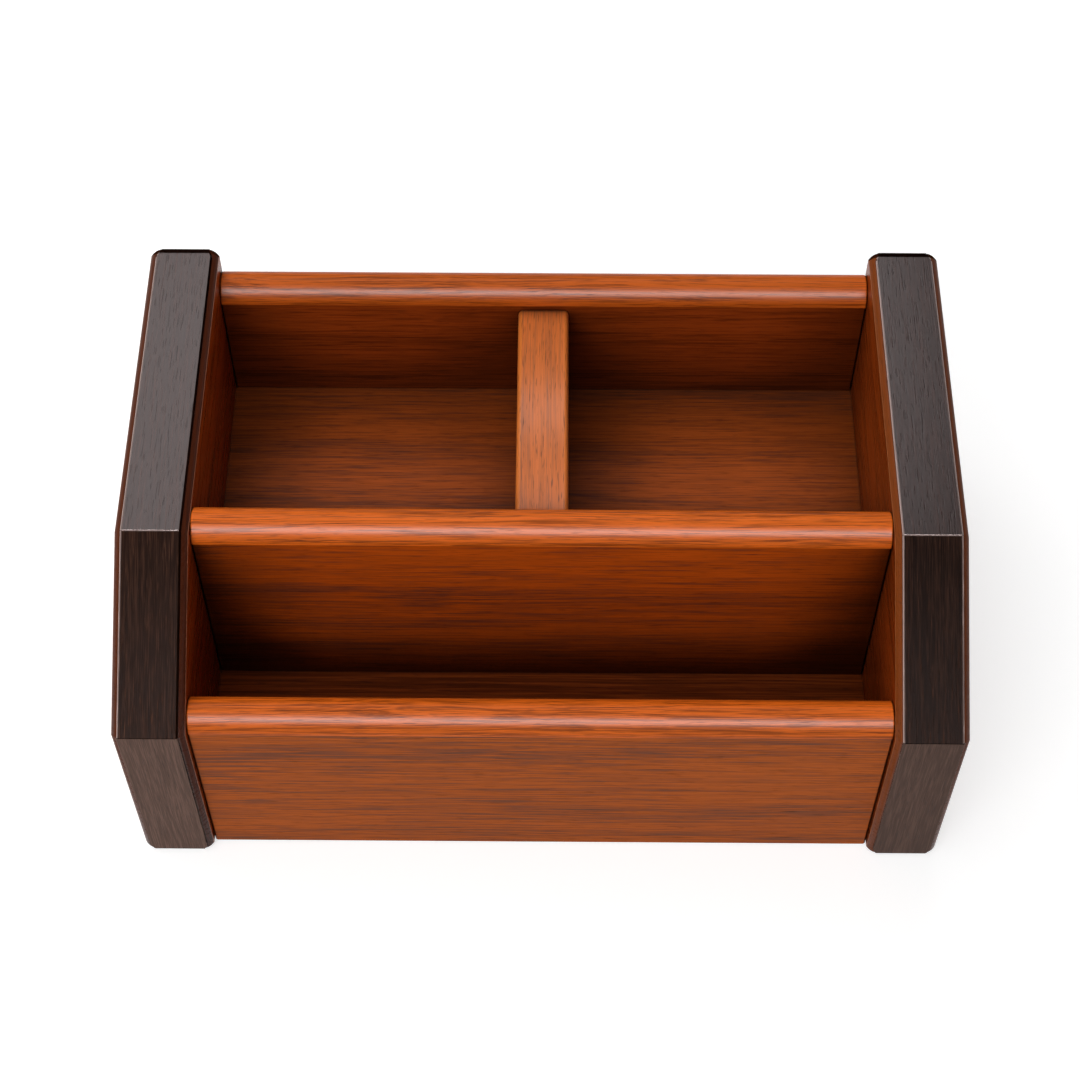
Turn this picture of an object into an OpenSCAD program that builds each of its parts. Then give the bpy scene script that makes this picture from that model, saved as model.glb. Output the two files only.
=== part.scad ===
// Desk organizer: two thick sides, three cross panels, a divider and two raised floors.
// Y runs from the front to the back, Z up from the surface that it stands on.

/* [Overall size] */
// Width over both sides
overall_width = 295; // [240:1:360]
// Depth of the sides, front to back
side_depth = 191; // [170:1:240]
// Height of the sides at the back
side_height = 124; // [115:1:160]
// Height of the sides at the front, where the slope starts
front_edge_height = 88; // [70:1:95]
// Depth of the slope along the sides' top, from the front
slope_depth = 62; // [40:1:70]

/* [Sides] */
// Thickness of each side, with both face boards
side_thickness = 25.5; // [20:0.5:32]
// Thickness of the face boards glued on a side's core
face_thickness = 2.2; // [2:0.1:3]
// Radius of the rounded arrises of the sides
arris_radius = 2.2; // [0.8:0.1:3]
// Thickness of the dark strips round the sides' edges
strip_thickness = 3; // [2:0.5:4]

/* [Cross panels] */
// Thickness of the front, middle and back panels, and of their half-round rails
panel_thickness = 14.2; // [12:0.1:16]
// Height of the front panel with its rail
front_panel_height = 90; // [80:0.5:95]
// Height of the middle panel with its rail
middle_panel_height = 121.5; // [112:0.5:130]
// Height of the back panel with its rail
back_panel_height = 115; // [112:0.5:130]
// How far the front panel lies behind the sides' front edges
front_recess = 4.5; // [1:0.5:8]
// Distance of the middle panel's front face from the sides' front edges
middle_setback = 62.5; // [50:0.5:80]
// How far the back panel lies inside the sides' back edges
back_recess = 1.5; // [0.5:0.5:6]
// Chamfer at the ends and bottom edges of the panels and rails
end_chamfer = 0.8; // [0.3:0.1:1.5]

/* [Floors] */
// Height of the front slot's floor above the base
slot_floor_height = 27; // [22:0.5:32]
// Height of the back bins' floor above the base
bin_floor_height = 56.5; // [45:0.5:62]
// Thickness of the floor boards
floor_thickness = 6; // [4:0.5:8]
// Depth of the grooves that hold the floors
groove_depth = 4; // [3:0.5:5]
// Play of a floor above and at each edge in its grooves
groove_play = 0.2; // [0.1:0.05:0.3]

/* [Divider] */
// Thickness of the centre divider
divider_thickness = 19; // [12:0.5:25]
// Height of the divider's top above the base
divider_height = 105.5; // [100:0.5:110]
// Radius of the divider's rounded edges
divider_radius = 1.6; // [0.5:0.1:3]

/* [Dowels] */
// Diameter of the dowels
dowel_diameter = 6; // [5:0.5:8]
// Length of a dowel between a panel and a side
dowel_length = 30; // [24:1:36]
// Depth of a dowel in a side
dowel_side_depth = 12; // [8:0.5:15]
// Length of a dowel between the divider and a panel
divider_dowel_length = 24; // [18:1:30]
// Depth of a divider dowel in a panel
dowel_panel_depth = 9; // [6:0.5:10]
// Height of the lowest dowels above the base
low_dowel_height = 12; // [8:0.5:12]
// Distance of the highest dowels below a panel's top
high_dowel_drop = 27; // [20:1:32]
// Radial play of a dowel in its bore
dowel_play = 0.05; // [0.02:0.01:0.1]
// Play at a dowel's ends
dowel_end_play = 0.25; // [0.1:0.05:0.3]

/* [Hidden] */
$fn = 64;

LEFT = -1;
RIGHT = 1;
// How far a cutter runs past the surface that it cuts
over = 1;

red_wood = [0.62, 0.30, 0.14];
red_wood_dark = [0.50, 0.22, 0.10];
dark_wood = [0.24, 0.18, 0.16];
core_wood = [0.66, 0.50, 0.34];
dowel_wood = [0.85, 0.72, 0.52];

// Sides, seen along X: front bottom, front top, slope top, back top, back bottom
slope_angle = atan2(side_height - front_edge_height, slope_depth);
front_top = [0, front_edge_height];
slope_top = [slope_depth, side_height];
outline = [[0, 0], front_top, slope_top, [side_depth, side_height], [side_depth, 0]];
core_width = side_thickness - 2 * face_thickness;
inside_half = overall_width / 2 - side_thickness;
// The rounding of the arrises goes no deeper than the face boards
edge_radius = min(arris_radius, face_thickness);

// The strips' inner corners, where the lines drawn parallel to the outline meet
front_inner = front_top + strip_thickness * [1, -tan(45 - slope_angle / 2)];
slope_inner = slope_top + strip_thickness * [tan(slope_angle / 2), -1];
back_inner = [side_depth - strip_thickness, side_height - strip_thickness];

// Cross panels, by the distance of their front face from the sides' front
rail_height = panel_thickness / 2;
back_setback = side_depth - back_recess - panel_thickness;
mid_dowel_height = (slot_floor_height + bin_floor_height - floor_thickness) / 2;
front_dowels = [low_dowel_height, front_panel_height - high_dowel_drop];
middle_dowels = [low_dowel_height, mid_dowel_height, middle_panel_height - high_dowel_drop];
back_dowels = [mid_dowel_height, back_panel_height - high_dowel_drop];
dowel_panel_end = dowel_length - dowel_side_depth;

// Divider
divider_rise = divider_height - bin_floor_height;
divider_dowels_z = [bin_floor_height + divider_rise / 4, bin_floor_height + divider_rise * 3 / 4];

// The origin is the middle of the base
module from_front() translate([0, -side_depth / 2, 0]) children();

// Extrudes a YZ outline along +X from x = 0
module along_x(length) rotate([90, 0, 90]) linear_extrude(length) children();

// Puts a piece drawn from the right side's inner face outwards on one of the sides
module on_side(side) {
    from_front()
        if (side == RIGHT) translate([inside_half, 0, 0]) children();
        else mirror([1, 0, 0]) translate([inside_half, 0, 0]) children();
}

// What rounding takes off a square corner whose sides lie below and to the left of the origin
module corner_waste() difference() {
    square(edge_radius + over);
    circle(edge_radius);
}

// Rounds the square corners of a side's outline, or of the rectangle round it
module rounded_corners() difference() {
    children();
    for (c = [[edge_radius, edge_radius, 180],
              [side_depth - edge_radius, edge_radius, -90],
              [side_depth - edge_radius, side_height - edge_radius, 0]])
        translate([c[0], c[1]]) rotate(c[2]) corner_waste();
}

// A slab below the XY plane's line from a to b, on its right, with its upper arris rounded
module slab_with_round_edge(a, b) {
    far = 2 * (side_depth + side_height);
    translate(a) rotate(atan2(b[1] - a[1], b[0] - a[0])) translate([-far / 2, 0, 0]) along_x(far)
        difference() {
            translate([-far, 0]) square([far, face_thickness]);
            translate([-edge_radius, face_thickness - edge_radius]) corner_waste();
        }
}

// A face board in the XY plane, flat below, with its upper arrises rounded
module face_board() intersection() {
    linear_extrude(face_thickness) rounded_corners() square([side_depth, side_height]);
    intersection_for (i = [0:len(outline) - 1])
        slab_with_round_edge(outline[i], outline[(i + 1) % len(outline)]);
}

// The bores in a side for the dowels of the three panels
module side_bores() {
    for (row = [[front_recess, front_dowels], [middle_setback, middle_dowels], [back_setback, back_dowels]])
        for (z = row[1])
            translate([-over, row[0] + panel_thickness / 2, z]) rotate([0, 90, 0])
                cylinder(h = over + dowel_side_depth + dowel_end_play, r = dowel_diameter / 2 + dowel_play);
}

// The grooves in a side for the two floors
module side_grooves() {
    for (row = [[front_recess, middle_setback, slot_floor_height], [middle_setback, back_setback, bin_floor_height]])
        translate([-over, row[0] + panel_thickness - groove_depth - groove_play, row[2] - floor_thickness])
            cube([over + groove_depth + groove_play,
                  row[1] - row[0] - panel_thickness + 2 * groove_depth + 2 * groove_play,
                  floor_thickness + groove_play]);
}

module side_core(side) {
    color(core_wood) on_side(side) difference() {
        translate([face_thickness, 0, 0]) along_x(core_width)
            polygon([[strip_thickness, 0], front_inner, slope_inner, back_inner, [back_inner[0], 0]]);
        side_bores();
        side_grooves();
    }
}

module inner_face(side) {
    color(red_wood_dark) on_side(side) difference() {
        translate([face_thickness, 0, 0]) mirror([1, 0, 0]) rotate([90, 0, 90]) face_board();
        side_bores();
        side_grooves();
    }
}

module outer_face(side) {
    color(red_wood) on_side(side) translate([face_thickness + core_width, 0, 0])
        rotate([90, 0, 90]) face_board();
}

// A dark strip along one stretch of the outline, mitred to its neighbours
module edge_strip(side, corners) {
    color(dark_wood) on_side(side) translate([face_thickness, 0, 0]) along_x(core_width)
        rounded_corners() polygon(corners);
}

module front_strip(side) edge_strip(side, [[0, 0], front_top, front_inner, [strip_thickness, 0]]);
module slope_strip(side) edge_strip(side, [front_top, slope_top, slope_inner, front_inner]);
module top_strip(side) edge_strip(side, [slope_top, [side_depth, side_height], back_inner, slope_inner]);
module back_strip(side) edge_strip(side, [[side_depth, side_height], [side_depth, 0], [back_inner[0], 0], back_inner]);

// A panel's board, up to the joint with its rail, with its front face at y = 0
module panel_board(height) {
    top = height - rail_height;
    c = end_chamfer;
    intersection() {
        translate([-inside_half, 0, 0]) along_x(2 * inside_half)
            polygon([[c, 0], [0, c], [0, top], [panel_thickness, top], [panel_thickness, c], [panel_thickness - c, 0]]);
        linear_extrude(top) polygon([
            [-inside_half, c], [c - inside_half, 0], [inside_half - c, 0], [inside_half, c],
            [inside_half, panel_thickness - c], [inside_half - c, panel_thickness],
            [c - inside_half, panel_thickness], [-inside_half, panel_thickness - c]]);
    }
}

// The bores for the dowels in both ends of a panel
module end_bores(heights) {
    for (z = heights, side = [LEFT, RIGHT])
        translate([side * (inside_half + over), panel_thickness / 2, z]) rotate([0, -90 * side, 0])
            cylinder(h = over + dowel_panel_end + dowel_end_play, r = dowel_diameter / 2 + dowel_play);
}

// A groove along a panel for a floor: in its front face, or in its back face
module floor_groove(floor_height, in_back) {
    depth = groove_depth + groove_play;
    translate([-inside_half - over, in_back ? panel_thickness - depth : -over, floor_height - floor_thickness])
        cube([2 * inside_half + 2 * over, depth + over, floor_thickness + groove_play]);
}

// The bores for the divider's dowels: in a panel's front face, or in its back face
module divider_bores(in_back) {
    depth = dowel_panel_depth + dowel_end_play;
    for (z = divider_dowels_z)
        translate([0, in_back ? panel_thickness - depth : -over, z]) rotate([-90, 0, 0])
            cylinder(h = depth + over, r = dowel_diameter / 2 + dowel_play);
}

module front_panel() {
    color(red_wood) from_front() translate([0, front_recess, 0]) difference() {
        panel_board(front_panel_height);
        end_bores(front_dowels);
        floor_groove(slot_floor_height, true);
    }
}

module middle_panel() {
    color(red_wood) from_front() translate([0, middle_setback, 0]) difference() {
        panel_board(middle_panel_height);
        end_bores(middle_dowels);
        floor_groove(slot_floor_height, false);
        floor_groove(bin_floor_height, true);
        divider_bores(true);
    }
}

module back_panel() {
    color(red_wood) from_front() translate([0, back_setback, 0]) difference() {
        panel_board(back_panel_height);
        end_bores(back_dowels);
        floor_groove(bin_floor_height, false);
        divider_bores(false);
    }
}

// A half-round rail on a panel, with chamfered ends
module rail(setback, height) {
    c = end_chamfer;
    r = panel_thickness / 2;
    color(red_wood) from_front() translate([0, setback + r, height - rail_height]) intersection() {
        rotate([0, 90, 0]) rotate_extrude()
            polygon([[0, -inside_half], [r - c, -inside_half], [r, c - inside_half],
                     [r, inside_half - c], [r - c, inside_half], [0, inside_half]]);
        translate([-inside_half - over, -r - over, 0])
            cube([2 * inside_half + 2 * over, 2 * r + 2 * over, r + over]);
    }
}

module front_rail() rail(front_recess, front_panel_height);
module middle_rail() rail(middle_setback, middle_panel_height);
module back_rail() rail(back_setback, back_panel_height);

// A rectangle with two or four of its corners rounded, centred in X
module eased_rectangle(width, height, radius, all_corners) {
    half = width / 2;
    translate([-half, all_corners ? radius : 0]) square([width, height - (all_corners ? 2 : 1) * radius]);
    translate([radius - half, 0]) square([width - 2 * radius, height]);
    for (x = [radius - half, half - radius]) {
        translate([x, height - radius]) circle(radius);
        if (all_corners) translate([x, radius]) circle(radius);
    }
}

module centre_divider() {
    y0 = middle_setback + panel_thickness;
    length = back_setback - y0;
    color(red_wood) from_front() translate([0, y0, bin_floor_height]) difference() {
        intersection() {
            translate([0, length, 0]) rotate([90, 0, 0]) linear_extrude(length)
                eased_rectangle(divider_thickness, divider_rise, divider_radius, false);
            linear_extrude(divider_rise) eased_rectangle(divider_thickness, length, divider_radius, true);
        }
        for (z = divider_dowels_z, y = [-over, length - divider_dowel_length + dowel_panel_depth - dowel_end_play])
            translate([0, y, z - bin_floor_height]) rotate([-90, 0, 0])
                cylinder(h = divider_dowel_length - dowel_panel_depth + dowel_end_play + over,
                         r = dowel_diameter / 2 + dowel_play);
    }
}

// A floor board held in the grooves of two panels and both sides
module floor_board(front_setback, rear_setback, height) {
    reach = groove_depth;
    y0 = front_setback + panel_thickness - reach;
    color(red_wood_dark) from_front() translate([-inside_half - reach, y0, height - floor_thickness])
        cube([2 * inside_half + 2 * reach, rear_setback + reach - y0, floor_thickness]);
}

module slot_floor() floor_board(front_recess, middle_setback, slot_floor_height);
module bin_floor() floor_board(middle_setback, back_setback, bin_floor_height);

// The dowels between a panel's two ends and the sides
module panel_dowels(setback, heights) {
    color(dowel_wood) from_front() for (z = heights, side = [LEFT, RIGHT])
        translate([side * (inside_half + dowel_side_depth), setback + panel_thickness / 2, z])
            rotate([0, -90 * side, 0]) cylinder(h = dowel_length, r = dowel_diameter / 2);
}

module front_panel_dowels() panel_dowels(front_recess, front_dowels);
module middle_panel_dowels() panel_dowels(middle_setback, middle_dowels);
module back_panel_dowels() panel_dowels(back_setback, back_dowels);

module divider_dowels() {
    y_front = middle_setback + panel_thickness - dowel_panel_depth;
    y_back = back_setback + dowel_panel_depth - divider_dowel_length;
    color(dowel_wood) from_front() for (z = divider_dowels_z, y = [y_front, y_back])
        translate([0, y, z]) rotate([-90, 0, 0]) cylinder(h = divider_dowel_length, r = dowel_diameter / 2);
}

side_core(LEFT);  // left_core
inner_face(LEFT);  // left_inner_face
outer_face(LEFT);  // left_outer_face
front_strip(LEFT);  // left_front_strip
slope_strip(LEFT);  // left_slope_strip
top_strip(LEFT);  // left_top_strip
back_strip(LEFT);  // left_back_strip
side_core(RIGHT);  // right_core
inner_face(RIGHT);  // right_inner_face
outer_face(RIGHT);  // right_outer_face
front_strip(RIGHT);  // right_front_strip
slope_strip(RIGHT);  // right_slope_strip
top_strip(RIGHT);  // right_top_strip
back_strip(RIGHT);  // right_back_strip
front_panel();
front_rail();
middle_panel();
middle_rail();
back_panel();
back_rail();
centre_divider();
bin_floor();
slot_floor();
front_panel_dowels();
middle_panel_dowels();
back_panel_dowels();
divider_dowels();
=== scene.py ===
"""Looks of the desk organizer.

Finer wooden pieces over the CAD frame, wood materials, a white floor, soft lamps and the
photo's camera.
"""

import math
import random

import bmesh
import bpy
from mathutils import Euler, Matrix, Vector


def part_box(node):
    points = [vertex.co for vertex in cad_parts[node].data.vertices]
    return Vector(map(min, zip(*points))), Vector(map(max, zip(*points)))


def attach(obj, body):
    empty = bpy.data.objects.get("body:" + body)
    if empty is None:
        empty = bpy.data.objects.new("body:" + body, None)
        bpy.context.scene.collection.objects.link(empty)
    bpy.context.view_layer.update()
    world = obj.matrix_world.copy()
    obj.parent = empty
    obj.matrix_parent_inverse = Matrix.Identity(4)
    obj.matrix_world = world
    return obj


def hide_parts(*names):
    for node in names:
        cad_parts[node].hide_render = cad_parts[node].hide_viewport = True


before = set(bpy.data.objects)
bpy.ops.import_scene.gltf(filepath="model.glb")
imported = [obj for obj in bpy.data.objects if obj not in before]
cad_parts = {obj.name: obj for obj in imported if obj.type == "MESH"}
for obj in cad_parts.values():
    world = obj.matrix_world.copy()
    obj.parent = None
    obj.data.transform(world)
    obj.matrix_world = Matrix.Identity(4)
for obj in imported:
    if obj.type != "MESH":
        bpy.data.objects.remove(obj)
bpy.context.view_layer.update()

# Sizes of the part, in metres, as in part.scad
INSIDE_HALF = 0.122
SIDE_DEPTH = 0.191
SIDE_HEIGHT = 0.124
FRONT_EDGE_HEIGHT = 0.088
SLOPE_DEPTH = 0.062
STRIP = 0.003
FACE = 0.0022
PANEL = 0.0142
END_CHAMFER = 0.0008
DIVIDER_RADIUS = 0.0016
FRONT_Y = -SIDE_DEPTH / 2
SLOPE_ANGLE = math.atan2(SIDE_HEIGHT - FRONT_EDGE_HEIGHT, SLOPE_DEPTH)

# Rounding of the sides' upper back and bottom corners, and of the strips' edges and mitres
BACK_CORNER = 0.004
BOTTOM_CORNER = 0.0028
STRIP_EASE = 0.0007
MITRE_EASE = 0.00025
# The sides' arris as (distance from the strip, inset): its first and last points, how much it
# swells between them, and the points that ease its end into the face
ARRIS_SINK = 0.0008
ARRIS_START = (0.0, ARRIS_SINK)
ARRIS_END = (FACE - 0.00015, FACE + 0.0002)
ARRIS_CROWN = 0.00015
ARRIS_EASE = [(FACE - 0.00003, FACE + 0.00034), (FACE, FACE + 0.00055)]
# The sides' rounded corners are rubbed: the strips give way to the face boards by up to this
# much, from a short lead before the rounding on. At the bottom the rub is full after this turn.
BACK_RUB = 0.0018
BACK_LEAD = 0.002
BOTTOM_RUB = 0.0014
BOTTOM_LEAD = 0.003
BOTTOM_TURN = math.radians(40)
# Where the points of a lead lie in it, and how far the arris rises and swells at a rubbed corner
LEAD_STEPS = (1.0, 0.7, 0.35)
CORNER_RISE = 0.8 * ARRIS_SINK
CORNER_CROWN = 0.0003

# Segments of the roundings: a strip's corner, edge and mitre, a face board's corner and arris,
# the divider's edge, and a rail's end, length and half circle
STRIP_ARC = 8
EDGE_SEGMENTS = 3
MITRE_SEGMENTS = 2
FACE_ARC = 6
ARRIS_SEGMENTS = 6
DIVIDER_SEGMENTS = 8
RAIL_END = 6
RAIL_LENGTH = 12
RAIL_ROUND = 40
# Edges that turn by more degrees than this are eased on a strip, and stay sharp on a face board
# and a rail
STRIP_SHARP = 35
FACE_SHARP = 50
RAIL_SHARP = 60

# What lies this near a mitre's outer corner belongs to the mitre: a point of the strip when the
# mitre is eased, and an eased face at the slope's foot
MITRE_REACH = 0.0012
FOOT_REACH = 0.0006
# An eased face that leans less than this in x lies on a mitre, and one that leans between the
# next two lies in the middle of a long edge. Then how pale each kind is painted: a painted
# highlight along the edge.
MITRE_LEAN = 0.1
MIDDLE_LEAN = (0.45, 0.9)
MITRE_HIGHLIGHT = 0.6
MIDDLE_HIGHLIGHT = 1.0
EDGE_HIGHLIGHT = 0.3

# Numbers of the further materials on the pieces that have them: a darker copy of the wood
# without gloss, which is painted shade, and the end of the face boards' arris
PAINTED_SHADE = 1
RUBBED = 2

# A length that counts as nothing, and the distance at which points become one
HAIR = 1e-5
MERGE = 1e-6


# ---- meshes

def mesh_piece(name, bm, slot, *nodes):
    """Makes the bmesh an object that stands for the nodes and hides them. The slot is not used."""
    bmesh.ops.recalc_face_normals(bm, faces=bm.faces)
    mesh = bpy.data.meshes.new(name)
    bm.to_mesh(mesh)
    bm.free()
    for face in mesh.polygons:
        face.use_smooth = True
    piece = bpy.data.objects.new(name, mesh)
    bpy.context.scene.collection.objects.link(piece)
    even = piece.modifiers.new("flat faces stay flat", "WEIGHTED_NORMAL")
    even.keep_sharp = True
    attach(piece, "root")
    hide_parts(*nodes)
    return piece


def prism(outline, x0, x1):
    """A bmesh prism of a closed YZ outline between two x planes."""
    bm = bmesh.new()
    ends = [[bm.verts.new((x, y, z)) for y, z in outline] for x in (x0, x1)]
    count = len(outline)
    for i in range(count):
        j = (i + 1) % count
        bm.faces.new((ends[0][i], ends[0][j], ends[1][j], ends[1][i]))
    bm.faces.new(ends[0][::-1])
    bm.faces.new(ends[1])
    bmesh.ops.recalc_face_normals(bm, faces=bm.faces)
    return bm


def keep_sharp(bm, degrees):
    """Keeps the edges sharp that turn by more than this."""
    bmesh.ops.recalc_face_normals(bm, faces=bm.faces)
    for e in bm.edges:
        if e.calc_face_angle(0) > math.radians(degrees):
            e.smooth = False


def round_edges(bm, edges, radius, segments):
    """Rounds the edges and returns the new faces."""
    done = bmesh.ops.bevel(bm, geom=edges, offset=radius, offset_type="OFFSET",
                           segments=segments, profile=0.5, affect="EDGES", clamp_overlap=True)
    return done["faces"]


def ease_edges(bm, width, segments, choose):
    """Rounds the sharp edges that are chosen, and marks the new faces in the layer named eased."""
    sharp = [e for e in bm.edges
             if e.calc_face_angle(0) > math.radians(STRIP_SHARP) and choose(e)]
    eased = bm.faces.layers.int.get("eased") or bm.faces.layers.int.new("eased")
    for face in round_edges(bm, sharp, width, segments):
        face[eased] = 1
    bm.normal_update()


def strip_corners():
    """Each strip's YZ corners from the front, outer line first, and which of them are rounded."""
    front_top = (0, FRONT_EDGE_HEIGHT)
    slope_top = (SLOPE_DEPTH, SIDE_HEIGHT)
    back_top = (SIDE_DEPTH, SIDE_HEIGHT)
    front_in = (STRIP, FRONT_EDGE_HEIGHT - STRIP * math.tan(math.pi / 4 - SLOPE_ANGLE / 2))
    slope_in = (SLOPE_DEPTH + STRIP * math.tan(SLOPE_ANGLE / 2), SIDE_HEIGHT - STRIP)
    back_in = (SIDE_DEPTH - STRIP, SIDE_HEIGHT - STRIP)
    return {
        "front": ([(0, 0), front_top, front_in, (STRIP, 0)], [0]),
        "slope": ([front_top, slope_top, slope_in, front_in], []),
        "top": ([slope_top, back_top, back_in, slope_in], [1]),
        "back": ([back_top, (SIDE_DEPTH, 0), (SIDE_DEPTH - STRIP, 0), back_in], [0, 1]),
    }


def corner_arc(corner):
    """A quarter circle that rounds one of the side's corners."""
    at_back, at_top = corner[0] > 0, corner[1] > 0
    radius = BACK_CORNER if at_top else BOTTOM_CORNER
    y = SIDE_DEPTH - radius if at_back else radius
    z = SIDE_HEIGHT - radius if at_top else radius
    start = (0 if at_top else 270) if at_back else 180
    turns = [math.radians(start + 90 * s / STRIP_ARC) for s in range(STRIP_ARC + 1)]
    return [(y + radius * math.cos(a), z + radius * math.sin(a)) for a in turns]


def lead(radius, length):
    """Distances from the corner of the points before its rounding, farthest first."""
    return [radius + length * f for f in LEAD_STEPS]


def strip_outline(points, round_at):
    """The strip's outline with its rounded corners, cut at the mitre where a corner is shared."""
    half = STRIP_ARC // 2
    result = []
    for i, p in enumerate(points):
        if i not in round_at:
            result.append(p)
            continue
        arc = corner_arc(p)
        before = points[i - 1]
        if (Vector(arc[0]) - Vector(before)).length > (Vector(arc[-1]) - Vector(before)).length:
            arc.reverse()
        if p == (SIDE_DEPTH, SIDE_HEIGHT):
            # the mitre runs through the middle of this corner's arc
            far = lead(BACK_CORNER, BACK_LEAD)
            if before[1] == SIDE_HEIGHT:
                arc = [(SIDE_DEPTH - d, SIDE_HEIGHT) for d in far] + arc[:half + 1]
            else:
                arc = arc[half:] + [(SIDE_DEPTH, SIDE_HEIGHT - d) for d in far[::-1]]
        elif p[0] == 0:
            arc += [(0, d) for d in lead(BOTTOM_CORNER, BOTTOM_LEAD)[::-1]]
        else:
            arc = [(SIDE_DEPTH, d) for d in lead(BOTTOM_CORNER, BOTTOM_LEAD)] + arc
        result += arc
    return [(y + FRONT_Y, z) for y, z in result]


def past_corner(y, z):
    """How far a point lies past the start of the nearest rounded corner, along Y and Z.

    Away from the corners the numbers are far below 0.
    """
    if z > SIDE_HEIGHT / 2:
        return Vector((y - (SIDE_DEPTH / 2 - BACK_CORNER), z - (SIDE_HEIGHT - BACK_CORNER)))
    return Vector((abs(y) - (SIDE_DEPTH / 2 - BOTTOM_CORNER), BOTTOM_CORNER - z))


def rub(y, z):
    """How deep a point is rubbed.

    The back corner is rubbed most in the middle of its rounding, and a bottom corner from its
    turn on to the rounding's end.
    """
    past = past_corner(y, z)
    if max(past) < HAIR:
        return 0.0
    turn = math.atan2(max(past.y, 0), max(past.x, 0))
    if z > SIDE_HEIGHT / 2:
        rest = math.pi / 2 - turn
        length = BACK_LEAD + min(past.x, past.y, 0) + BACK_CORNER * min(turn, rest)
        full = BACK_LEAD + BACK_CORNER * math.pi / 4
        depth = BACK_RUB
    else:
        turn = min(turn, BOTTOM_TURN)
        length = BOTTOM_LEAD + min(past.y, 0) + BOTTOM_CORNER * turn + min(past.x, 0)
        full = BOTTOM_LEAD + BOTTOM_CORNER * BOTTOM_TURN
        depth = BOTTOM_RUB
    return depth * math.sin(math.pi / 2 * max(length, 0) / full) ** 2


def lifted(y, z, height):
    """A point of a rubbed corner, moved outwards by the height's share that is rubbed there."""
    past = past_corner(y, z)
    outwards = Vector((max(past.x, 0), max(past.y, 0))).normalized()
    out = outwards * height * rub(y, z) / BACK_RUB
    return y + math.copysign(out.x, y), z + math.copysign(out.y, z - SIDE_HEIGHT / 2)


def on_back_corner(p):
    """Whether a face's middle lies on the rounded upper back corner itself."""
    return min(past_corner(p.y, p.z)) > 0 and p.z > SIDE_HEIGHT / 2


def near(p, y, z, reach):
    return math.hypot(p.y - y - FRONT_Y, p.z - z) < reach


def on_mitre(v):
    """Whether a corner point belongs to the mitre at the slope's foot or at its top."""
    return (near(v.co, 0, FRONT_EDGE_HEIGHT, MITRE_REACH)
            or near(v.co, SLOPE_DEPTH, SIDE_HEIGHT, MITRE_REACH))


def mark_strip(bm, side):
    """Marks how pale the eased edges are painted, a painted highlight, and gives the dark ones
    the painted shade material.

    Dark, as painted shade, are the back corner, the mitre at the slope's foot and the left side's
    inner edges.
    """
    worn = bm.loops.layers.float.new("worn")
    eased = bm.faces.layers.int["eased"]
    for face in bm.faces:
        middle, lean = face.calc_center_median(), face.normal.x
        pale = 0.0
        dark = on_back_corner(middle)
        if face[eased]:
            pale = EDGE_HIGHLIGHT
            if abs(lean) < MITRE_LEAN:
                pale = MITRE_HIGHLIGHT
            elif MIDDLE_LEAN[0] < abs(lean) < MIDDLE_LEAN[1]:
                pale = MIDDLE_HIGHLIGHT
            dark = (dark or side == "left" and lean > MITRE_LEAN
                    or near(middle, 0, FRONT_EDGE_HEIGHT, FOOT_REACH))
        if dark:
            face.material_index = PAINTED_SHADE
            pale = 0.0
        for loop in face.loops:
            loop[worn] = pale


def make_strips():
    """The dark strips round both sides, rubbed at the corners and eased at edges and mitres."""
    inner = INSIDE_HALF + FACE
    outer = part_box("right_outer_face")[0].x
    pieces = []
    for side, sign in (("left", -1), ("right", 1)):
        middle = sign * (inner + outer) / 2
        for stretch, (points, round_at) in strip_corners().items():
            ends = sorted((sign * inner, sign * outer))
            bm = prism(strip_outline(points, round_at), *ends)
            # the last two corners are the ones inside, against the core board
            sunk = [Vector((p[0] + FRONT_Y, p[1])) for p in points[-2:]]
            exposed = {v for v in bm.verts if min((v.co.yz - p).length for p in sunk) > HAIR}
            for v in bm.verts:
                v.co.x += math.copysign(rub(v.co.y, v.co.z), middle - v.co.x)

            def outside(e):
                """Whether an edge is in view and runs along the strip, not across it."""
                a, b = e.verts
                return exposed.issuperset((a, b)) and abs(a.co.x - b.co.x) < (outer - inner) / 2

            ease_edges(bm, STRIP_EASE, EDGE_SEGMENTS, outside)
            ease_edges(bm, MITRE_EASE, MITRE_SEGMENTS, lambda e: all(map(on_mitre, e.verts)))
            for v in bm.verts:
                v.co.y = min(max(v.co.y, FRONT_Y), -FRONT_Y)
                v.co.z = min(max(v.co.z, 0), SIDE_HEIGHT)
            mark_strip(bm, side)
            name = f"{side}_{stretch}_strip"
            pieces.append(mesh_piece(name + "_eased", bm, "edge_strip", name))
    return pieces


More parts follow.
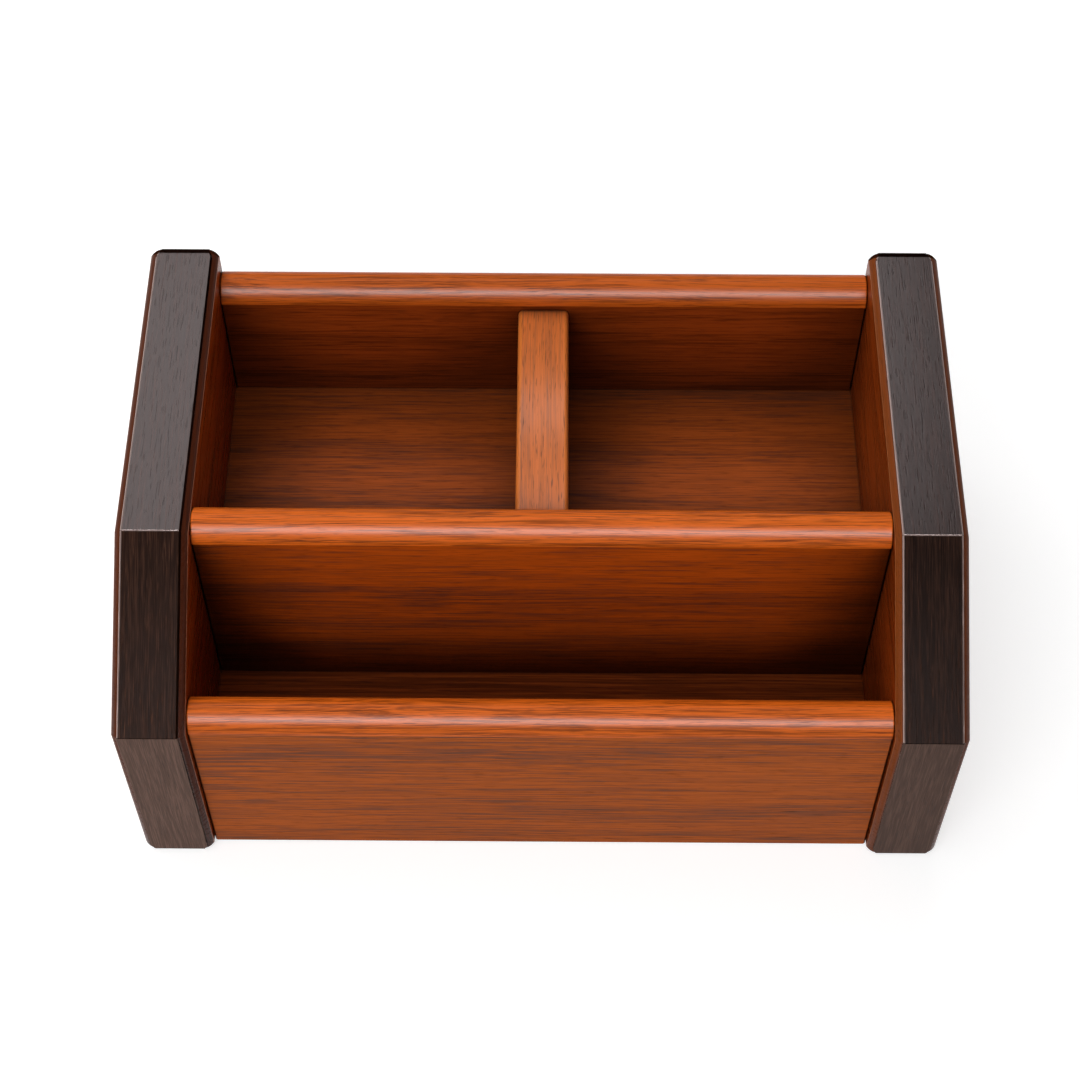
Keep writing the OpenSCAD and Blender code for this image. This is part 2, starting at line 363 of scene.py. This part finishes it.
def inset_outline(inset):
    """The side's YZ outline, moved inwards: two mitred corners and three rounded ones."""
    def arc(start, y, z, radius):
        turns = [math.radians(start - 90 * k / FACE_ARC) for k in range(FACE_ARC + 1)]
        radius = max(radius - inset, HAIR)
        return [(y + radius * math.cos(a), z + radius * math.sin(a)) for a in turns]

    top, back = SIDE_HEIGHT - inset, SIDE_DEPTH - inset
    near_back = lead(BACK_CORNER, BACK_LEAD)
    near_bottom = lead(BOTTOM_CORNER, BOTTOM_LEAD)
    points = [(inset, FRONT_EDGE_HEIGHT - inset * math.tan(math.pi / 4 - SLOPE_ANGLE / 2)),
              (SLOPE_DEPTH + inset * math.tan(SLOPE_ANGLE / 2), top)]
    points += [(SIDE_DEPTH - d, top) for d in near_back]
    points += arc(90, SIDE_DEPTH - BACK_CORNER, SIDE_HEIGHT - BACK_CORNER, BACK_CORNER)
    points += [(back, SIDE_HEIGHT - d) for d in near_back[::-1]]
    points += [(back, d) for d in near_bottom]
    points += arc(0, SIDE_DEPTH - BOTTOM_CORNER, BOTTOM_CORNER, BOTTOM_CORNER)
    points += arc(270, BOTTOM_CORNER, BOTTOM_CORNER, BOTTOM_CORNER)
    points += [(inset, d) for d in near_bottom[::-1]]
    return [(y + FRONT_Y, z) for y, z in points]


def arris_profile():
    """The arris as (distance from the strip, inset): a crowned bevel and its eased end."""
    profile = []
    for k in range(ARRIS_SEGMENTS + 1):
        t = k / ARRIS_SEGMENTS
        bulge = 4 * t * (1 - t) * ARRIS_CROWN
        off, inset = (a + t * (b - a) for a, b in zip(ARRIS_START, ARRIS_END))
        profile.append((off + bulge, inset - bulge))
    return profile + ARRIS_EASE


def make_face(side, which):
    """A face board lofted from the strip's plane to its own face. Its arris is marked for its own
    darker colour with painted shade, its back corner takes painted shade, and the end of its
    arris its own material, with a painted highlight on the left side.
    """
    node = f"{side}_{which}_face"
    low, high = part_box(node)
    outwards = (side == "right") == (which == "outer")
    x0, x1 = (low.x, high.x) if outwards else (high.x, low.x)
    bm = bmesh.new()
    worn = bm.loops.layers.float.new("worn")
    loops = []
    for off, inset in arris_profile():
        t = off / FACE
        rise = (1 - t) * (CORNER_RISE + 4 * t * CORNER_CROWN)
        loops.append([
            bm.verts.new((x0 + (x1 - x0) * (t - (1 - t) * rub(y, z) / FACE), *lifted(y, z, rise)))
            for y, z in inset_outline(inset)])
    count = len(loops[0])
    last = len(loops) - 2
    for k, (a, b) in enumerate(zip(loops, loops[1:])):
        for i in range(count):
            j = (i + 1) % count
            face = bm.faces.new((a[i], a[j], b[j], b[i]))
            # The back corner takes painted shade, and the last loops of the arris their own
            # material
            if on_back_corner(face.calc_center_median()):
                face.material_index = PAINTED_SHADE
            elif k >= last - 1:
                face.material_index = RUBBED
            for loop in face.loops:
                loop[worn] = 0.0 if k == last else 1.0
    bm.faces.new(loops[0][::-1])
    bm.faces.new(loops[-1])
    bmesh.ops.remove_doubles(bm, verts=bm.verts, dist=MERGE)
    keep_sharp(bm, FACE_SHARP)
    return mesh_piece(node + "_bevelled", bm, "side_face", node)


def make_rail(node):
    """A half-round rail whose ends are eased in a quarter circle."""
    low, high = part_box(node)
    radius = PANEL / 2
    centre_y, base = (low.y + high.y) / 2, low.z
    turns = [math.pi / 2 * k / RAIL_END for k in range(RAIL_END + 1)]
    left = [(-INSIDE_HALF + END_CHAMFER * (1 - math.cos(a)),
             radius - END_CHAMFER * (1 - math.sin(a))) for a in turns]
    length = 2 * (INSIDE_HALF - END_CHAMFER)
    middle = [(-length / 2 + length * k / RAIL_LENGTH, radius) for k in range(1, RAIL_LENGTH)]
    stations = left + middle + [(-x, r) for x, r in reversed(left)]
    around = [math.pi * i / RAIL_ROUND for i in range(RAIL_ROUND + 1)]
    bm = bmesh.new()
    loops = [[bm.verts.new((x, centre_y + r * math.cos(a), base + r * math.sin(a)))
              for a in around] for x, r in stations]
    for a, b in zip(loops, loops[1:]):
        for i in range(RAIL_ROUND):
            bm.faces.new((a[i], a[i + 1], b[i + 1], b[i]))
        bm.faces.new((a[-1], a[0], b[0], b[-1]))
    bm.faces.new(loops[0])
    bm.faces.new(loops[-1][::-1])
    keep_sharp(bm, RAIL_SHARP)
    return mesh_piece(node + "_smooth", bm, "rail", node)


def make_divider():
    """The centre divider, with its upright edges and the two long ones on top rounded."""
    low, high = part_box("centre_divider")
    bm = bmesh.new()
    bmesh.ops.create_cube(bm, size=1)
    for v in bm.verts:
        v.co = [(low[i] + high[i]) / 2 + v.co[i] * (high[i] - low[i]) for i in range(3)]

    def rounded(e):
        run = e.verts[0].co - e.verts[1].co
        on_top = all(abs(v.co.z - high.z) < HAIR for v in e.verts)
        return abs(run.z) > HAIR or on_top and abs(run.y) > HAIR

    faces = round_edges(bm, [e for e in bm.edges if rounded(e)], DIVIDER_RADIUS,
                        DIVIDER_SEGMENTS)
    # The rounded edges are marked for a brighter orange, painted light
    worn = bm.loops.layers.float.new("worn")
    for face in faces:
        for loop in face.loops:
            loop[worn] = 1.0
    return mesh_piece("centre_divider_eased", bm, "divider", "centre_divider")


# ---- materials

class Tree:
    """The node tree of a material or the world, with short calls to add and join nodes."""

    def __init__(self, owner):
        owner.use_nodes = True
        self.tree = owner.node_tree
        self.tree.nodes.clear()

    def add(self, kind, inputs=None, out=0, **settings):
        """Adds a node and returns one of its outputs; an input is a number or another output."""
        node = self.tree.nodes.new(kind)
        for key, value in settings.items():
            setattr(node, key, value)
        for key, value in (inputs or {}).items():
            if isinstance(value, bpy.types.NodeSocket):
                self.tree.links.new(value, node.inputs[key])
            else:
                node.inputs[key].default_value = value
        return node.outputs[out] if node.outputs else node

    def maths(self, operation, a, b):
        return self.add("ShaderNodeMath", {0: a, 1: b}, operation=operation)

    def vector(self, operation, a, b):
        return self.add("ShaderNodeVectorMath", {0: a, 1: b}, operation=operation)

    def weighted(self, *pairs):
        """The sum of values times their weights."""
        products = [self.maths("MULTIPLY", value, weight) for value, weight in pairs]
        total = products[0]
        for product in products[1:]:
            total = self.maths("ADD", total, product)
        return total

    def ramp(self, factor, stops):
        node = self.tree.nodes.new("ShaderNodeValToRGB")
        elements = node.color_ramp.elements
        while len(elements) < len(stops):
            elements.new(1.0)
        for element, (position, colour) in zip(elements, stops):
            element.position = position
            element.color = (*colour, 1.0)
        self.tree.links.new(factor, node.inputs[0])
        return node.outputs[0]

    def between(self, value, low, high, to_low=0.0, to_high=1.0, shape="LINEAR"):
        return self.add("ShaderNodeMapRange", {0: value, 1: low, 2: high, 3: to_low, 4: to_high},
                        clamp=True, interpolation_type=shape)

    def noise(self, vector, scale, detail=2.0, roughness=0.5, out=0):
        """Noise with this many waves per metre along the grain and across it."""
        along, across = scale
        stretched = self.vector("MULTIPLY", vector, (along, across, across))
        return self.add("ShaderNodeTexNoise", {"Vector": stretched, "Scale": 1.0,
                                               "Detail": detail, "Roughness": roughness}, out)

    def mix(self, share, base, colour, blend="MIX"):
        """Mixes a fixed colour into an output; inputs 6 and 7 and output 2 are the colours."""
        node = self.tree.nodes.new("ShaderNodeMix")
        node.data_type = "RGBA"
        node.blend_type = blend
        self.tree.links.new(share, node.inputs["Factor"])
        self.tree.links.new(base, node.inputs[6])
        node.inputs[7].default_value = (*colour, 1.0)
        return node.outputs[2]

    def openness(self, distance):
        """1 in the open and less where something is nearer than this."""
        return self.add("ShaderNodeAmbientOcclusion", {"Distance": distance}, "AO",
                        samples=OPENNESS_SAMPLES)

    def shown(self):
        """1 for the camera, reflections and glass, 0 for the light that falls on things."""
        path = self.tree.nodes.new("ShaderNodeLightPath").outputs
        mirrored = self.maths("MAXIMUM", path["Is Glossy Ray"], path["Is Transmission Ray"])
        return self.maths("MAXIMUM", path["Is Camera Ray"], mirrored)


# Rotation that turns each grain direction to the texture's X
GRAIN = {
    "x": (0, 0, 0),
    "y": (0, 0, -math.pi / 2),
    "z": (0, math.pi / 2, 0),
    "slope": (-SLOPE_ANGLE, 0, -math.pi / 2),
}
# How far apart the pieces lie in the texture
SPREAD = 4
# Waves per metre along the grain and across it
DRIFT_SCALE = (6, 24)
BAND_SCALE = (3, 95)
STREAK_SCALE = (11, 520)
HAIR_SCALE = (22, 1500)
PORE_SCALE = (150, 2300)
# The noise that starts and fills a pore
PORE_RANGE = (0.60, 0.72)
# Shares of the streaks and pores in the roughness, the range that spans it, and the shares of
# the hair lines and pores in the relief, with its depth
ROUGH_STREAKS = 0.6
ROUGH_PORES = 0.4
ROUGH_RANGE = (0.2, 0.6)
RELIEF_HAIRS = 0.6
RELIEF_PORES = 0.7
RELIEF_DEPTH = 0.0001
# Painted shade from ambient occlusion: dark lines where pieces meet, and the shade deep in the
# corners of the bins
OPENNESS_SAMPLES = 8
SEAM_REACH = 0.0016
SEAM_RANGE = (0.25, 0.75)
SEAM_SHADE_SHARE = 0.85
SEAM_SHADE_COLOUR = (0.004, 0.002, 0.001)
CORNER_REACH = 0.045
CORNER_RANGE = (0.5, 1.0)
CORNER_SHADE_COLOUR = (0.004, 0.001, 0.0)


def wood(name, grain, seed, stops, gloss, rough=(0.34, 0.5), fine=(1.0, 1.0), tint=(1, 1, 1),
         bands=0.3, streaks=0.34, hairs=0.42, contrast=0.1, wave=0.005, pores=0.6,
         pore_colour=0.45, worn=(0.5, 0.2, 0.08), worn_share=0.5, corners=0.0, bump=0.35):
    """Lacquered wood: broad bands, fine streaks, hair lines and short pores along the grain, with
    painted light and shade on marked edges, in seams and in corners.
    """
    material = bpy.data.materials.new(name)
    t = Tree(material)
    pick = random.Random(seed)
    place = t.add("ShaderNodeMapping", {
        "Vector": t.add("ShaderNodeTexCoord", out="Object"),
        "Location": [pick.uniform(-SPREAD, SPREAD) for _ in range(3)],
        "Rotation": GRAIN[grain]})
    drift = t.vector("SUBTRACT", t.noise(place, DRIFT_SCALE, out="Color"), (0.5, 0.5, 0.5))
    drift = t.vector("MULTIPLY", drift, (0, wave, wave))
    place = t.vector("ADD", place, drift)

    def finer(scale):
        return scale[0] * fine[0], scale[1] * fine[1]

    band = t.noise(place, BAND_SCALE, detail=3.0)
    streak = t.noise(place, finer(STREAK_SCALE), detail=3.0, roughness=0.6)
    hair = t.noise(place, finer(HAIR_SCALE), roughness=0.6)
    pore = t.between(t.noise(place, PORE_SCALE, detail=1.0), *PORE_RANGE)
    tone = t.weighted((band, bands), (streak, streaks), (hair, hairs))
    colour = t.ramp(t.between(tone, 0.5 - contrast, 0.5 + contrast), stops)

    # Painted light and shade on marked edges: a painted highlight on the strips' eased edges, a
    # brighter orange on the divider's rounded edges, and on the face boards' arrises their own
    # darker wood with painted shade
    mark = t.add("ShaderNodeAttribute", out="Fac", attribute_name="worn")
    colour = t.mix(t.maths("MULTIPLY", mark, worn_share), colour, worn)
    colour = t.mix(t.maths("MULTIPLY", pore, pores), colour, (pore_colour,) * 3, "MULTIPLY")
    # Painted shade: dark lines where pieces meet
    seam_shade = t.between(t.openness(SEAM_REACH), *SEAM_RANGE, 1.0, 0.0)
    colour = t.mix(t.maths("MULTIPLY", seam_shade, SEAM_SHADE_SHARE), colour, SEAM_SHADE_COLOUR)
    # Painted shade deep in the inner corners
    if corners:
        shade = t.between(t.openness(CORNER_REACH), *CORNER_RANGE, corners, 0.0)
        colour = t.mix(shade, colour, CORNER_SHADE_COLOUR)

    uneven = t.weighted((streak, ROUGH_STREAKS), (pore, ROUGH_PORES))
    relief = t.maths("SUBTRACT", t.maths("MULTIPLY", hair, RELIEF_HAIRS),
                     t.maths("MULTIPLY", pore, RELIEF_PORES))
    shader = t.add("ShaderNodeBsdfPrincipled", {
        "Base Color": colour,
        "Roughness": t.between(uneven, *ROUGH_RANGE, *rough),
        "Normal": t.add("ShaderNodeBump", {"Strength": bump, "Distance": RELIEF_DEPTH,
                                           "Height": relief}),
        "Specular IOR Level": gloss,
        "Specular Tint": (*tint, 1.0)})
    t.add("ShaderNodeOutputMaterial", {"Surface": shader})
    return material


# Tones of the grain that have the deepest, the half-deep, the plain and the palest colour
TONES = (0.0, 0.42, 0.6, 1.0)


def shades(colour, dark=0.5, light=1.3, dulled=0.0):
    """Four stops of one wood, from its dark grain lines to its palest wood.

    The number dulled is how far the dark end turns grey.
    """
    grey = sum(colour) / 3
    deep = [dark * (c + (grey - c) * dulled) for c in colour]
    half_deep = [(d + c) / 2 for d, c in zip(deep, colour)]
    return list(zip(TONES, (deep, half_deep, colour, [c * light for c in colour])))


def paint(piece, *materials):
    """Gives the piece its materials by number; clearing the list would reset its faces' numbers."""
    held = piece.data.materials
    for number, material in enumerate(materials):
        if number < len(held):
            held[number] = material
        else:
            held.append(material)


def darker(colour, share):
    return [c * share for c in colour]


# Looks of the CAD's own boards in view, all with the grain along x; corners is how dark the
# painted shade in their inner corners gets
BOARD_LOOKS = {
    "front_panel": {
        "stops": shades((0.395, 0.087, 0.013), 0.55, 1.3, 0.3), "gloss": 0.03,
        "rough": (0.4, 0.55), "fine": (1.8, 1.8), "bands": 0.22, "streaks": 0.42,
        "contrast": 0.08},
    "middle_panel": {
        "stops": shades((0.425, 0.067, 0.0045), 0.45, 1.25, 0.2), "gloss": 0.02,
        "fine": (2.0, 1.9), "corners": 0.92},
    "back_panel": {
        "stops": shades((0.27, 0.043, 0.0045), 0.4), "gloss": 0.03, "fine": (2.0, 1.9),
        "corners": 0.72},
    "bin_floor": {
        "stops": shades((0.33, 0.066, 0.0095), 0.5, 1.3, 0.2), "gloss": 0.05,
        "fine": (2.0, 1.9), "corners": 0.54},
    "slot_floor": {
        "stops": shades((0.27, 0.050, 0.007), 0.45), "gloss": 0.06, "corners": 0.3},
}
# Grain and wood colour of the pieces hidden inside, which are bare wood
HIDDEN = {"core": ("y", (0.42, 0.27, 0.14)), "dowels": ("x", (0.52, 0.36, 0.20))}
HIDDEN_LOOK = {"gloss": 0.2, "rough": (0.6, 0.8)}
# Grain, wood colour, ends of its shades and gloss of the strips, and the share of the colour
# that the right side has, which paints shade on the right side's strips, darkest on the slope
STRIPS = {
    "front": ("z", (0.142, 0.082, 0.062), (0.8, 1.3), 0.02, 0.8),
    "slope": ("slope", (0.026, 0.0105, 0.006), (0.5, 2.0), 0.008, 0.55),
    "top": ("y", (0.022, 0.008, 0.0055), (0.5, 2.0), 0.68, 0.8),
    "back": ("z", (0.03, 0.012, 0.008), (0.5, 2.0), 0.02, 0.8),
}
# The pale edge colour is a painted highlight along the strips' eased edges
STRIP_LOOK = {
    "fine": (4.0, 2.0), "bands": 0.14, "streaks": 0.38, "hairs": 0.5, "wave": 0.002,
    "tint": (1.0, 0.88, 0.88), "pores": 0.9, "worn": (0.55, 0.40, 0.36), "worn_share": 0.85,
}
# On the slope the pores are pale, which a factor above 1 gives
STRIP_PORES = 0.6
SLOPE_PORES = 2.0
# Share of the strip's colour in its painted shade
STRIP_SHADE_SHARE = 0.35
# Wood colour of the faces; colour of their arrises, their own darker wood with painted light and
# shade, dark on the left and lightest on the right side's inner arris, which faces the light;
# and colour and gloss where the arris ends, a painted highlight on the left side
FACES = {"left": (0.385, 0.061, 0.005), "right": (0.27, 0.044, 0.005)}
ARRISES = {
    "left_inner": (0.052, 0.013, 0.006), "left_outer": (0.09, 0.025, 0.011),
    "right_inner": (0.20, 0.046, 0.008), "right_outer": (0.13, 0.036, 0.014),
}
ARRIS_ENDS = {"left": ((0.36, 0.15, 0.11), 0.2), "right": ((0.22, 0.05, 0.009), 0.07)}
FACE_LOOK = {"fine": (2.0, 1.3), "worn_share": 0.95}
# Colour of the arris on the back corner, painted shade
ARRIS_SHADE_COLOUR = (0.02, 0.007, 0.004)
# Wood colour of the rails, and the share of it that each has, which paints light and shade:
# the back rail darker and the front and middle rails lighter
RAIL = (0.53, 0.098, 0.0065)
RAIL_LIGHT_AND_SHADE = {"front": 1.11, "middle": 1.16, "back": 0.88}
RAIL_LOOK = {
    "gloss": 0.12, "rough": (0.34, 0.44), "fine": (2.2, 2.0), "bands": 0.24, "streaks": 0.42,
    "hairs": 0.4, "wave": 0.01, "contrast": 0.07, "bump": 0.06,
}
# The divider's rounded edges take a brighter orange, painted light
DIVIDER_LOOK = {
    "stops": shades((0.64, 0.16, 0.033), 0.74, 1.12, 0.1), "gloss": 0.4, "rough": (0.3, 0.42),
    "fine": (1.5, 1.6), "pores": 0.8, "pore_colour": 0.35, "worn": (0.72, 0.19, 0.03),
    "worn_share": 0.8,
}
FIRST_SEED = 101


def strip_materials(name, seed):
    """The strip's wood, and a darker copy without gloss that paints shade on its dark edges."""
    side, stretch = name.split("_")[:2]
    grain, base, ends, gloss, right_shade_share = STRIPS[stretch]
    base = darker(base, right_shade_share if side == "right" else 1.0)
    look = {"pore_colour": SLOPE_PORES if stretch == "slope" else STRIP_PORES, **STRIP_LOOK}
    return (
        wood(name + "_wood", grain, seed, shades(base, *ends), gloss, (0.2, 0.32), bump=0.4,
             **look),
        wood(name + "_dull", grain, seed, shades(darker(base, STRIP_SHADE_SHARE), *ends), 0.0,
             (0.6, 0.8), bump=0.1, **look))


def face_materials(name, seed):
    """The face board's wood, a darker copy without gloss that paints shade on its back corner, and
    the end of its arris, with a painted highlight on the left side.
    """
    side, which = name.split("_")[:2]
    stops = shades(FACES[side], 0.4)
    end, end_gloss = ARRIS_ENDS[side]
    return (
        wood(name + "_wood", "y", seed, stops, 0.07, (0.25, 0.4), corners=0.3,
             worn=ARRISES[f"{side}_{which}"], **FACE_LOOK),
        wood(name + "_dull", "y", seed, stops, 0.0, (0.6, 0.8), worn=ARRIS_SHADE_COLOUR, **FACE_LOOK),
        wood(name + "_rubbed", "y", seed, shades(end, 0.6), end_gloss, (0.3, 0.4)))


def make_materials(new):
    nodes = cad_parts
    for seed, (node, obj) in enumerate(sorted(nodes.items()), start=FIRST_SEED):
        kind = node.split("_")[-1]
        if kind in HIDDEN:
            grain, base = HIDDEN[kind]
            paint(obj, wood(node + "_wood", grain, seed, shades(base, 0.7, 1.2), **HIDDEN_LOOK))
        elif node in BOARD_LOOKS:
            paint(obj, wood(node + "_wood", "x", seed, **BOARD_LOOKS[node]))
    for seed, piece in enumerate(new, start=FIRST_SEED + len(nodes)):
        name = piece.name
        if "strip" in name:
            paint(piece, *strip_materials(name, seed))
        elif "face" in name:
            paint(piece, *face_materials(name, seed))
        elif "rail" in name:
            stops = shades(darker(RAIL, RAIL_LIGHT_AND_SHADE[name.split("_")[0]]), 0.45, 1.25)
            paint(piece, wood(name + "_wood", "x", seed, stops, **RAIL_LOOK))
        else:
            paint(piece, wood(name + "_wood", "y", seed, **DIVIDER_LOOK))


# ---- studio

# The floor is white where it is seen, and this pale as a surface that gives light back
FLOOR_HALF = 6
FLOOR_PALE = 0.66
FLOOR_GLOW = 0.62
# The world: the heights between which white fades to the ceiling's level, and its share as light
HORIZON = (0.12, 0.40)
CEILING = 0.06
WORLD_LIGHT = 0.5
# What all the lamps point at
AIM = (0, 0, 0.06)


def make_floor():
    """A white floor that keeps the object's shadow."""
    bm = bmesh.new()
    bmesh.ops.create_grid(bm, x_segments=8, y_segments=8, size=FLOOR_HALF)
    mesh = bpy.data.meshes.new("floor")
    bm.to_mesh(mesh)
    bm.free()
    floor = bpy.data.objects.new("floor", mesh)
    bpy.context.scene.collection.objects.link(floor)
    material = bpy.data.materials.new("floor_white")
    t = Tree(material)
    shader = t.add("ShaderNodeBsdfPrincipled", {
        "Base Color": (FLOOR_PALE, FLOOR_PALE, FLOOR_PALE, 1), "Roughness": 0.9,
        "Specular IOR Level": 0.0, "Emission Color": (1, 1, 1, 1),
        "Emission Strength": t.maths("MULTIPLY", t.shown(), FLOOR_GLOW)})
    t.add("ShaderNodeOutputMaterial", {"Surface": shader})
    paint(floor, material)


def make_world():
    """A white backdrop round the horizon under a darker ceiling."""
    world = bpy.data.worlds.new("studio")
    bpy.context.scene.world = world
    t = Tree(world)
    direction = t.add("ShaderNodeTexCoord", out="Generated")
    height = t.add("ShaderNodeSeparateXYZ", {"Vector": direction}, out="Z")
    white = t.between(height, *HORIZON, 1.0, CEILING, "SMOOTHSTEP")
    strength = t.maths("MULTIPLY", white, t.between(t.shown(), 0.0, 1.0, WORLD_LIGHT, 1.0))
    background = t.add("ShaderNodeBackground", {"Color": (1, 1, 1, 1), "Strength": strength})
    t.add("ShaderNodeOutputWorld", {"Surface": background})


def softbox(name, place, width, height, radiance, unseen_by=None):
    """A rectangular lamp of this radiance, which one kind of ray may pass by."""
    light = bpy.data.lights.new(name, "AREA")
    light.shape = "RECTANGLE"
    light.size = width
    light.size_y = height
    light.energy = radiance * math.pi * width * height
    lamp = bpy.data.objects.new(name, light)
    bpy.context.scene.collection.objects.link(lamp)
    lamp.location = place
    lamp.rotation_euler = (Vector(AIM) - Vector(place)).to_track_quat("-Z", "Y").to_euler()
    if unseen_by == "glossy":
        lamp.visible_glossy = False
    if unseen_by == "diffuse":
        lamp.visible_diffuse = False


def make_camera():
    """The camera that was fitted to the photo."""
    camera = bpy.data.cameras.new("camera")
    camera.sensor_fit = "HORIZONTAL"
    camera.sensor_width = 36
    camera.lens = 75.05
    camera.clip_start = 0.01
    eye = bpy.data.objects.new("camera", camera)
    bpy.context.scene.collection.objects.link(eye)
    eye.location = (0.002652, -0.462153, 0.769234)
    eye.rotation_euler = Euler((math.radians(33.412), 0, math.radians(0.419)))
    bpy.context.scene.camera = eye


new_pieces = make_strips()
new_pieces += [make_face(side, which) for side in ("left", "right")
               for which in ("inner", "outer")]
new_pieces += [make_rail(node) for node in ("front_rail", "middle_rail", "back_rail")]
new_pieces.append(make_divider())
make_materials(new_pieces)
make_floor()
make_world()
softbox("key", (-0.30, 1.0, 1.4), 1.5, 0.7, 2.2)
softbox("front", (-0.4, -1.17, 1.32), 1.3, 0.8, 3.7, unseen_by="glossy")
softbox("shine", (0, -1.13, 1.27), 1.2, 0.75, 36, unseen_by="diffuse")
softbox("overhead", (-0.5, 0.0, 1.3), 2.2, 1.8, 1.0, unseen_by="glossy")
make_camera()

bpy.context.scene.view_settings.view_transform = "Standard"
